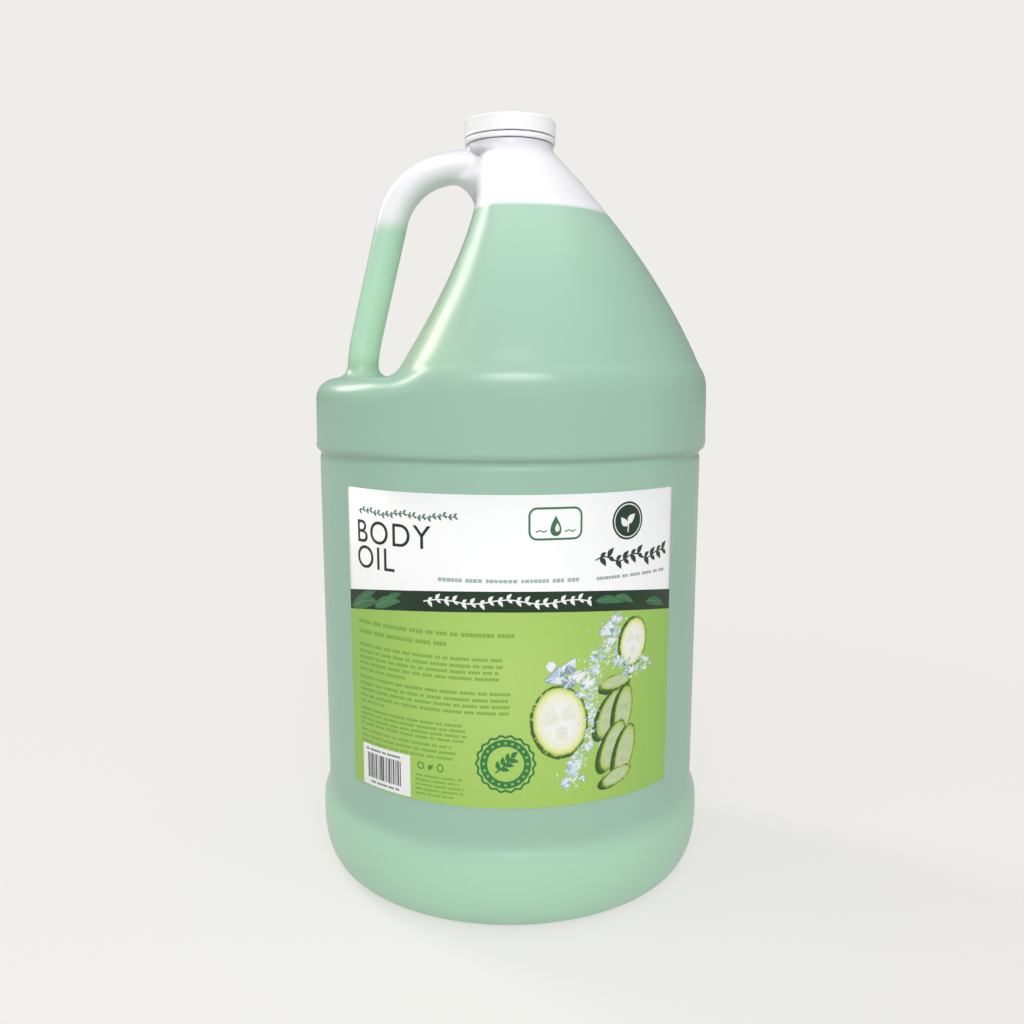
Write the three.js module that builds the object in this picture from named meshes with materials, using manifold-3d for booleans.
// One-gallon plastic jug of massage oil: a blow-moulded bottle with a hollow handle, its fill of oil, a film label,
// and a low white screw cap that carries a foam liner and leaves its tamper band on the neck.
// Millimetres, +Z up. The origin is the centre of the base, the label faces -Y and the handle is on the -X side.
import * as THREE from "three";
import { mergeVertices } from "three/addons/utils/BufferGeometryUtils.js";
import Module from "manifold-3d";

const wasm = await Module();
wasm.setup();

// Bottle
const wall = 1; // blown wall thickness
const bulgeRadius = 77.5; // rounded band just above the base
const panelRadius = 75; // recessed panel that the label sits on
const bandRadius = 77; // band under the shoulder
const bandFrom = 172.5; // where that band starts
const standRadius = 64; // outer edge of the flat ring that the bottle stands on
const pushUp = 4; // how far the middle of the base is raised
const shelfHeight = 196.3; // flat shoulder that the handle rises from
const neckRadius = 16.4; // neck under the tamper band
const oilLevel = 256.5;
const oilGap = 0.3; // between the oil's solid and the wall

// Handle: an oval tube, a leg rising from the shelf, a bend, and a top that runs into the neck
const handleThick = 5.95; // half its thickness, in the plane of the handle
const handleDeep = 8; // half its depth, across that plane
const footX = -58.2; // the leg starts upright here
const handleCorner = new THREE.Vector2(-41.85, 270); // where the lines of leg and top would meet
const legLean = THREE.MathUtils.degToRad(14); // from vertical
const topRise = THREE.MathUtils.degToRad(16); // from horizontal
const bendRadius = 26;
const topHeight = 276.3; // where the top levels out
const tipX = -9; // inside the neck
const footFlare = 0.45; // share by which the tube widens at the shelf
const neckFlare = 0.9; // and on its underside where it meets the neck

// Finger gap: a wall pressed in behind the handle, from the shelf up to the neck
const gapTop = 262; // the wall is steepest from here up
const gapTopDepth = 13.2; // distance from the axis to the wall there
const gapFootDepth = 44.9; // and at the shelf
const gapSlope = 1.36; // how the wall leans out towards the shelf: 1 would be a straight line
const gapBow = 0.0025; // how quickly the wall curves away at each side, per millimetre
const gapFade = [274, 282]; // the wall fades out into the round neck between these heights
const gapFadeDepth = 22; // by moving out this far
const gapRounding = 14; // softness of the edge between wall and shoulder
const shelfEdge = 8; // rounding of the shelf's outer edge

// Neck finish and closure, from the top down
const capTop = 291.8;
const capRadius = 17.35;
const capBoreRadius = 16.05;
const capPlate = 1.2; // thickness of the cap's flat top
const linerThickness = 0.6;
const linerRadius = 15.6;
const seatGap = 0.3; // above and below the liner
const capSkirtEnd = 285.6;
const bandHeight = 1.8;
const slit = 0.5; // between cap and tamper band
const bridgeCount = 8; // stubs of the bridges that held the band to the cap
const bridgeSize = [0.8, 0.6, 0.4]; // along the ring, across it and up
const boreRadius = 13.2; // mouth
const rootRadius = 14.85; // neck between its threads
const beadRadius = 15.75; // bead that keeps the tamper band on
const threadHeight = 0.8; // radial height of the neck's threads
const threadRootWidth = 0.95;
const threadCrestWidth = 0.55;
const threadStarts = 3;
const threadLead = 6; // rise in one full turn
const threadSpan = THREE.MathUtils.degToRad(115); // arc that each of the neck's threads covers
const capThreadFrom = THREE.MathUtils.degToRad(48); // where the cap's threads start on the same helix
const capThreadSpan = THREE.MathUtils.degToRad(92);

// Label
const labelHalfAngle = THREE.MathUtils.degToRad(50.3);
const labelBottom = 48.4;
const labelTop = 158.1;
const labelThickness = 0.2;
const labelGap = 0.3; // clear of the panel's corners

const roundSides = 40;
const capSides = 48;

// A closed mesh as a solid that can be joined and cut.
function solidFrom(geometry) {
  const bare = new THREE.BufferGeometry().setAttribute("position", geometry.getAttribute("position"));
  if (geometry.index) bare.setIndex(geometry.index);
  const merged = mergeVertices(bare, 1e-4);
  const triVerts = new Uint32Array(merged.index.array);
  return new wasm.Manifold(new wasm.Mesh({ numProp: 3, vertProperties: merged.attributes.position.array, triVerts }));
}

function geometryFrom(solid) {
  const made = solid.getMesh();
  const position = new THREE.BufferAttribute(new Float32Array(made.vertProperties), 3);
  const geometry = new THREE.BufferGeometry().setAttribute("position", position);
  geometry.setIndex(new THREE.BufferAttribute(new Uint32Array(made.triVerts), 1));
  geometry.computeVertexNormals();
  return geometry;
}

// Turns a profile of (radius, height) points about the Z axis.
function turned(points, sides = roundSides) {
  return new THREE.LatheGeometry(points, sides).rotateX(Math.PI / 2);
}

// Sweeps a flat section along 0 to 1 and lets place() put each vertex, with z as the share of the way.
function swept(section, steps, place, curveSegments = 6) {
  const geometry = new THREE.ExtrudeGeometry(section, { depth: 1, steps, bevelEnabled: false, curveSegments });
  const position = geometry.getAttribute("position");
  const vertex = new THREE.Vector3();
  for (let i = 0; i < position.count; i += 1) {
    vertex.fromBufferAttribute(position, i);
    place(vertex);
    position.setXYZ(i, vertex.x, vertex.y, vertex.z);
  }
  return geometry;
}

// Moves a profile inwards by a distance, along its normals.
function insetProfile(points, distance) {
  const normals = points.slice(1).map((p, i) => new THREE.Vector2(p.y - points[i].y, points[i].x - p.x).normalize());
  return points.map((p, i) => {
    const before = normals[Math.max(i - 1, 0)];
    const after = normals[Math.min(i, normals.length - 1)];
    const middle = before.clone().add(after).normalize();
    const moved = p.clone().addScaledVector(middle, -distance / middle.dot(after));
    return i === 0 ? moved.setX(0) : moved;
  });
}

// Adds a point to a rising profile at each of the given heights.
function withRows(points, heights) {
  const rows = [...points];
  for (const height of heights) {
    const i = rows.findIndex((p, k) => k > 0 && rows[k - 1].y < height && p.y >= height);
    const [low, high] = [rows[i - 1], rows[i]];
    if (high.y > height) rows.splice(i, 0, low.clone().lerp(high, (height - low.y) / (high.y - low.y)));
  }
  return rows;
}

// Profile of the bottle from the middle of its base to the neck, before the finger gap is pressed in.
function bottleProfile(inset) {
  const outline = new THREE.Path()
    .moveTo(0, pushUp)
    .lineTo(standRadius - 12, pushUp)
    .lineTo(standRadius - 5, 0)
    .lineTo(standRadius, 0)
    .bezierCurveTo(standRadius + 9, 0, bulgeRadius, 8, bulgeRadius, 22)
    .bezierCurveTo(bulgeRadius, 30, panelRadius, 31, panelRadius, 38)
    .lineTo(panelRadius, bandFrom - 5)
    .bezierCurveTo(panelRadius, bandFrom - 2.5, bandRadius, bandFrom - 2.5, bandRadius, bandFrom)
    .lineTo(bandRadius - 0.3, 189)
    .bezierCurveTo(bandRadius - 0.4, 195, bandRadius - 1.4, 198, 73.5, 201)
    .quadraticCurveTo(56.3, 239.5, 19, 278)
    .quadraticCurveTo(neckRadius, 280.4, neckRadius, 282);
  const shelfRows = [-7, -4, -2, -0.3, 0.3].map((step) => shelfHeight + step);
  const wallRows = Array.from({ length: 7 }, (_, i) => shelfHeight + 10 + 11 * i);
  const rows = [...shelfRows, ...wallRows].map((height) => height - inset);
  return withRows(insetProfile(outline.getPoints(3), inset), rows);
}

// Distance from the axis to the wall of the finger gap at Y = 0.
function gapDepth(height) {
  const fall = THREE.MathUtils.clamp((gapTop - height) / (gapTop - shelfHeight), 0, 1);
  const fade = THREE.MathUtils.smoothstep(height, ...gapFade);
  return gapTopDepth + (gapFootDepth - gapTopDepth) * fall ** gapSlope + gapFadeDepth * fade;
}

// Scale that pulls a point of the bottle in to the bowed wall of the finger gap, with a soft edge between them.
// Just below the shelf it rounds the shelf's outer edge instead.
function pressGap(x, y, z, inset) {
  const radius = Math.hypot(x, y);
  const height = z + inset;
  if (height < shelfHeight - shelfEdge || radius < 1) return 1;
  const cos = -x / radius;
  const bow = gapBow * Math.max((y / radius) ** 2, 1e-6);
  const depth = gapDepth(Math.max(height, shelfHeight)) - 0.6 * inset;
  const wallRadius = (-cos + Math.sqrt(cos * cos + 4 * bow * depth)) / (2 * bow);
  if (height < shelfHeight) {
    const rise = (height - shelfHeight + shelfEdge) / shelfEdge;
    const onShelf = THREE.MathUtils.smoothstep(radius - wallRadius, 0, 2 * shelfEdge);
    return 1 - (onShelf * shelfEdge * (1 - Math.sqrt(1 - rise * rise))) / radius;
  }
  const share = THREE.MathUtils.clamp(0.5 + (wallRadius - radius) / (2 * gapRounding), 0, 1);
  const softened = THREE.MathUtils.lerp(wallRadius, radius, share) - gapRounding * share * (1 - share);
  return Math.min(softened, radius) / radius;
}

// The bottle as a filled solid, its surface moved in by a distance.
function bottleSolid(inset, neckPoints) {
  const geometry = turned([...bottleProfile(inset), ...neckPoints]);
  const position = geometry.getAttribute("position");
  for (let i = 0; i < position.count; i += 1) {
    const [x, y, z] = [position.getX(i), position.getY(i), position.getZ(i)];
    const scale = z > capSkirtEnd - bandHeight ? 1 : pressGap(x, y, z, inset);
    position.setXYZ(i, x * scale, y * scale, z);
  }
  return solidFrom(geometry);
}

// Centre line of the handle in the XZ plane.
function handlePath() {
  const leg = new THREE.Vector2(Math.sin(legLean), Math.cos(legLean));
  const turn = Math.PI / 2 - legLean - topRise;
  const bendStart = handleCorner.clone().addScaledVector(leg, -bendRadius * Math.tan(turn / 2));
  const centre = bendStart.clone().add(new THREE.Vector2(leg.y, -leg.x).multiplyScalar(bendRadius));
  const knee = handleCorner.clone().addScaledVector(leg, (footX - handleCorner.x) / leg.x);
  const legStart = knee.clone().addScaledVector(leg, 10);
  const from = Math.PI - legLean;
  return new THREE.Path()
    .moveTo(footX, shelfHeight - 7)
    .lineTo(footX, knee.y - 6)
    .quadraticCurveTo(knee.x, knee.y, legStart.x, legStart.y)
    .lineTo(bendStart.x, bendStart.y)
    .absarc(centre.x, centre.y, bendRadius, from, from - turn, true)
    .quadraticCurveTo(tipX - 11, topHeight, tipX, topHeight);
}

// The handle as a filled tube, its surface moved in by a distance. It flares where it meets the bottle.
function handleSolid(inset) {
  const path = handlePath();
  const section = new THREE.Shape().absellipse(0, 0, handleThick - inset, handleDeep - inset, 0, 2 * Math.PI);
  return solidFrom(swept(section, 20, (vertex) => {
    const at = path.getPointAt(vertex.z);
    const along = path.getTangentAt(vertex.z);
    const foot = 1 + footFlare * (1 - THREE.MathUtils.smoothstep(at.y, shelfHeight - 2, shelfHeight + 7));
    const neck = 1 + neckFlare * THREE.MathUtils.smoothstep(at.x, -25, -11) * (vertex.x > 0 ? 1 : 0);
    const across = vertex.x * foot * neck;
    vertex.set(at.x + along.y * across, vertex.y * foot, at.y - along.x * across);
  }));
}

// A ring of equal thread starts whose section points, (radius, height), follow a right-hand helix.
function threads(section, span, firstAngle) {
  const starts = Array.from({ length: threadStarts }, (_, i) => firstAngle + (i * 2 * Math.PI) / threadStarts);
  return starts.map((start) => solidFrom(swept(section, 12, (vertex) => {
    const turn = span * (1 - vertex.z);
    const angle = start + turn;
    const height = vertex.y + (threadLead * turn) / (2 * Math.PI);
    vertex.set(vertex.x * Math.sin(angle), -vertex.x * Math.cos(angle), height);
  })));
}

// A thread's four-cornered section, from a buried root to a narrower crest.
function threadSection(root, crest, middle) {
  return new THREE.Shape([
    new THREE.Vector2(root, middle - threadRootWidth / 2),
    new THREE.Vector2(crest, middle - threadCrestWidth / 2),
    new THREE.Vector2(crest, middle + threadCrestWidth / 2),
    new THREE.Vector2(root, middle + threadRootWidth / 2),
  ]);
}

const landHeight = capTop - capPlate - seatGap - linerThickness - seatGap; // rim of the mouth
const threadFoot = capSkirtEnd + 0.75; // middle of each neck thread at its low end
const bandTop = capSkirtEnd - slit;
const bandFoot = bandTop - bandHeight;

// Blow-moulded bottle with its hollow handle and threaded neck.
function jug() {
  const finish = [
    [neckRadius, bandFoot - 0.4], [rootRadius, bandFoot - 0.4], [rootRadius, bandTop - 0.7], [beadRadius, bandTop - 0.5],
    [beadRadius, bandTop - 0.25], [rootRadius, bandTop], [rootRadius, landHeight - 0.3],
    [rootRadius - 0.3, landHeight], [0, landHeight],
  ].map(([radius, height]) => new THREE.Vector2(radius, height));
  const mouth = [
    [boreRadius, bandFoot - 0.6], [boreRadius, landHeight + 1], [0, landHeight + 1],
  ].map(([radius, height]) => new THREE.Vector2(radius, height));
  const outside = bottleSolid(0, finish).add(handleSolid(0));
  const inside = bottleSolid(wall, mouth).add(handleSolid(wall));
  const section = threadSection(rootRadius - 0.4, rootRadius + threadHeight, threadFoot);
  return threads(section, threadSpan, 0).reduce((made, start) => made.add(start), outside).subtract(inside);
}

// The oil that fills the bottle and the handle up to one level.
function oil() {
  const inset = wall + oilGap;
  const lid = [new THREE.Vector2(0, bottleProfile(inset).at(-1).y)];
  const below = new THREE.BoxGeometry(200, 200, oilLevel).translate(0, 0, oilLevel / 2);
  return bottleSolid(inset, lid).add(handleSolid(inset)).intersect(solidFrom(below));
}

// Screw cap with a stepped top edge and its own thread starts.
function cap() {
  const shell = [
    [0, capTop - capPlate], [capBoreRadius, capTop - capPlate], [capBoreRadius, capSkirtEnd], [capRadius, capSkirtEnd],
    [capRadius, capTop - 0.85], [capRadius - 0.25, capTop - 0.6], [capRadius - 0.7, capTop - 0.5],
    [capRadius - 0.8, capTop - 0.15], [capRadius - 1.1, capTop], [0, capTop],
  ].map(([radius, height]) => new THREE.Vector2(radius, height));
  const halfPitch = threadLead / threadStarts / 2; // the cap's threads run midway under the neck's
  const lowEnd = threadFoot - halfPitch + (capThreadFrom * threadLead) / (2 * Math.PI);
  const section = threadSection(capBoreRadius + 0.4, capBoreRadius - 0.9, lowEnd);
  const starts = threads(new THREE.Shape(section.getPoints().reverse()), capThreadSpan, capThreadFrom);
  return starts.reduce((made, start) => made.add(start), solidFrom(turned(shell, capSides)));
}

// Round foam disc that seals the mouth.
function liner() {
  const foot = landHeight + seatGap;
  return new THREE.CylinderGeometry(linerRadius, linerRadius, linerThickness, roundSides)
    .rotateX(Math.PI / 2)
    .translate(0, 0, foot + linerThickness / 2);
}

// Tamper band: a ring hooked under the neck's bead, with the stubs of the bridges that held it to the cap.
function tamperBand() {
  const ring = [
    [15.35, bandFoot], [capRadius - 0.3, bandFoot], [capRadius - 0.1, bandFoot + 0.3], [capRadius - 0.1, bandTop],
    [16.15, bandTop], [16.15, bandFoot + 0.9], [15.35, bandFoot + 0.6], [15.35, bandFoot],
  ].map(([radius, height]) => new THREE.Vector2(radius, height));
  let made = solidFrom(turned(ring, capSides));
  for (let i = 0; i < bridgeCount; i += 1) {
    const stub = new THREE.BoxGeometry(...bridgeSize)
      .translate(0, -(capRadius - 0.6), bandTop)
      .rotateZ(((i + 0.5) * 2 * Math.PI) / bridgeCount);
    made = made.add(solidFrom(stub));
  }
  return made;
}

// Film label wrapped round the front of the panel.
function label() {
  const inner = panelRadius + labelGap;
  const section = new THREE.Shape([
    new THREE.Vector2(inner, labelBottom),
    new THREE.Vector2(inner + labelThickness, labelBottom),
    new THREE.Vector2(inner + labelThickness, labelTop),
    new THREE.Vector2(inner, labelTop),
  ]);
  return swept(section, 24, (vertex) => {
    const angle = labelHalfAngle * (1 - 2 * vertex.z);
    vertex.set(vertex.x * Math.sin(angle), -vertex.x * Math.cos(angle), vertex.y);
  });
}

const naturalPlastic = new THREE.MeshStandardMaterial({ color: 0xdfe9e0, roughness: 0.38, metalness: 0 });
const whitePlastic = new THREE.MeshStandardMaterial({ color: 0xf7f7f6, roughness: 0.42, metalness: 0 });
const foam = new THREE.MeshStandardMaterial({ color: 0xf0efe9, roughness: 0.85, metalness: 0 });
const greenOil = new THREE.MeshStandardMaterial({ color: 0x8fcfa6, roughness: 0.08, metalness: 0 });
const printedFilm = new THREE.MeshStandardMaterial({ color: 0xa9d268, roughness: 0.3, metalness: 0 });

const bottle = new THREE.Group();
const pieces = [
  ["jug", geometryFrom(jug()), naturalPlastic],
  ["oil_fill", geometryFrom(oil()), greenOil],
  ["front_label", label(), printedFilm],
  ["tamper_band", geometryFrom(tamperBand()), whitePlastic],
  ["cap_liner", liner(), foam],
  ["screw_cap", geometryFrom(cap()), whitePlastic],
];
for (const [name, geometry, material] of pieces) {
  const mesh = new THREE.Mesh(geometry, material);
  mesh.name = name;
  bottle.add(mesh);
}

export default bottle;
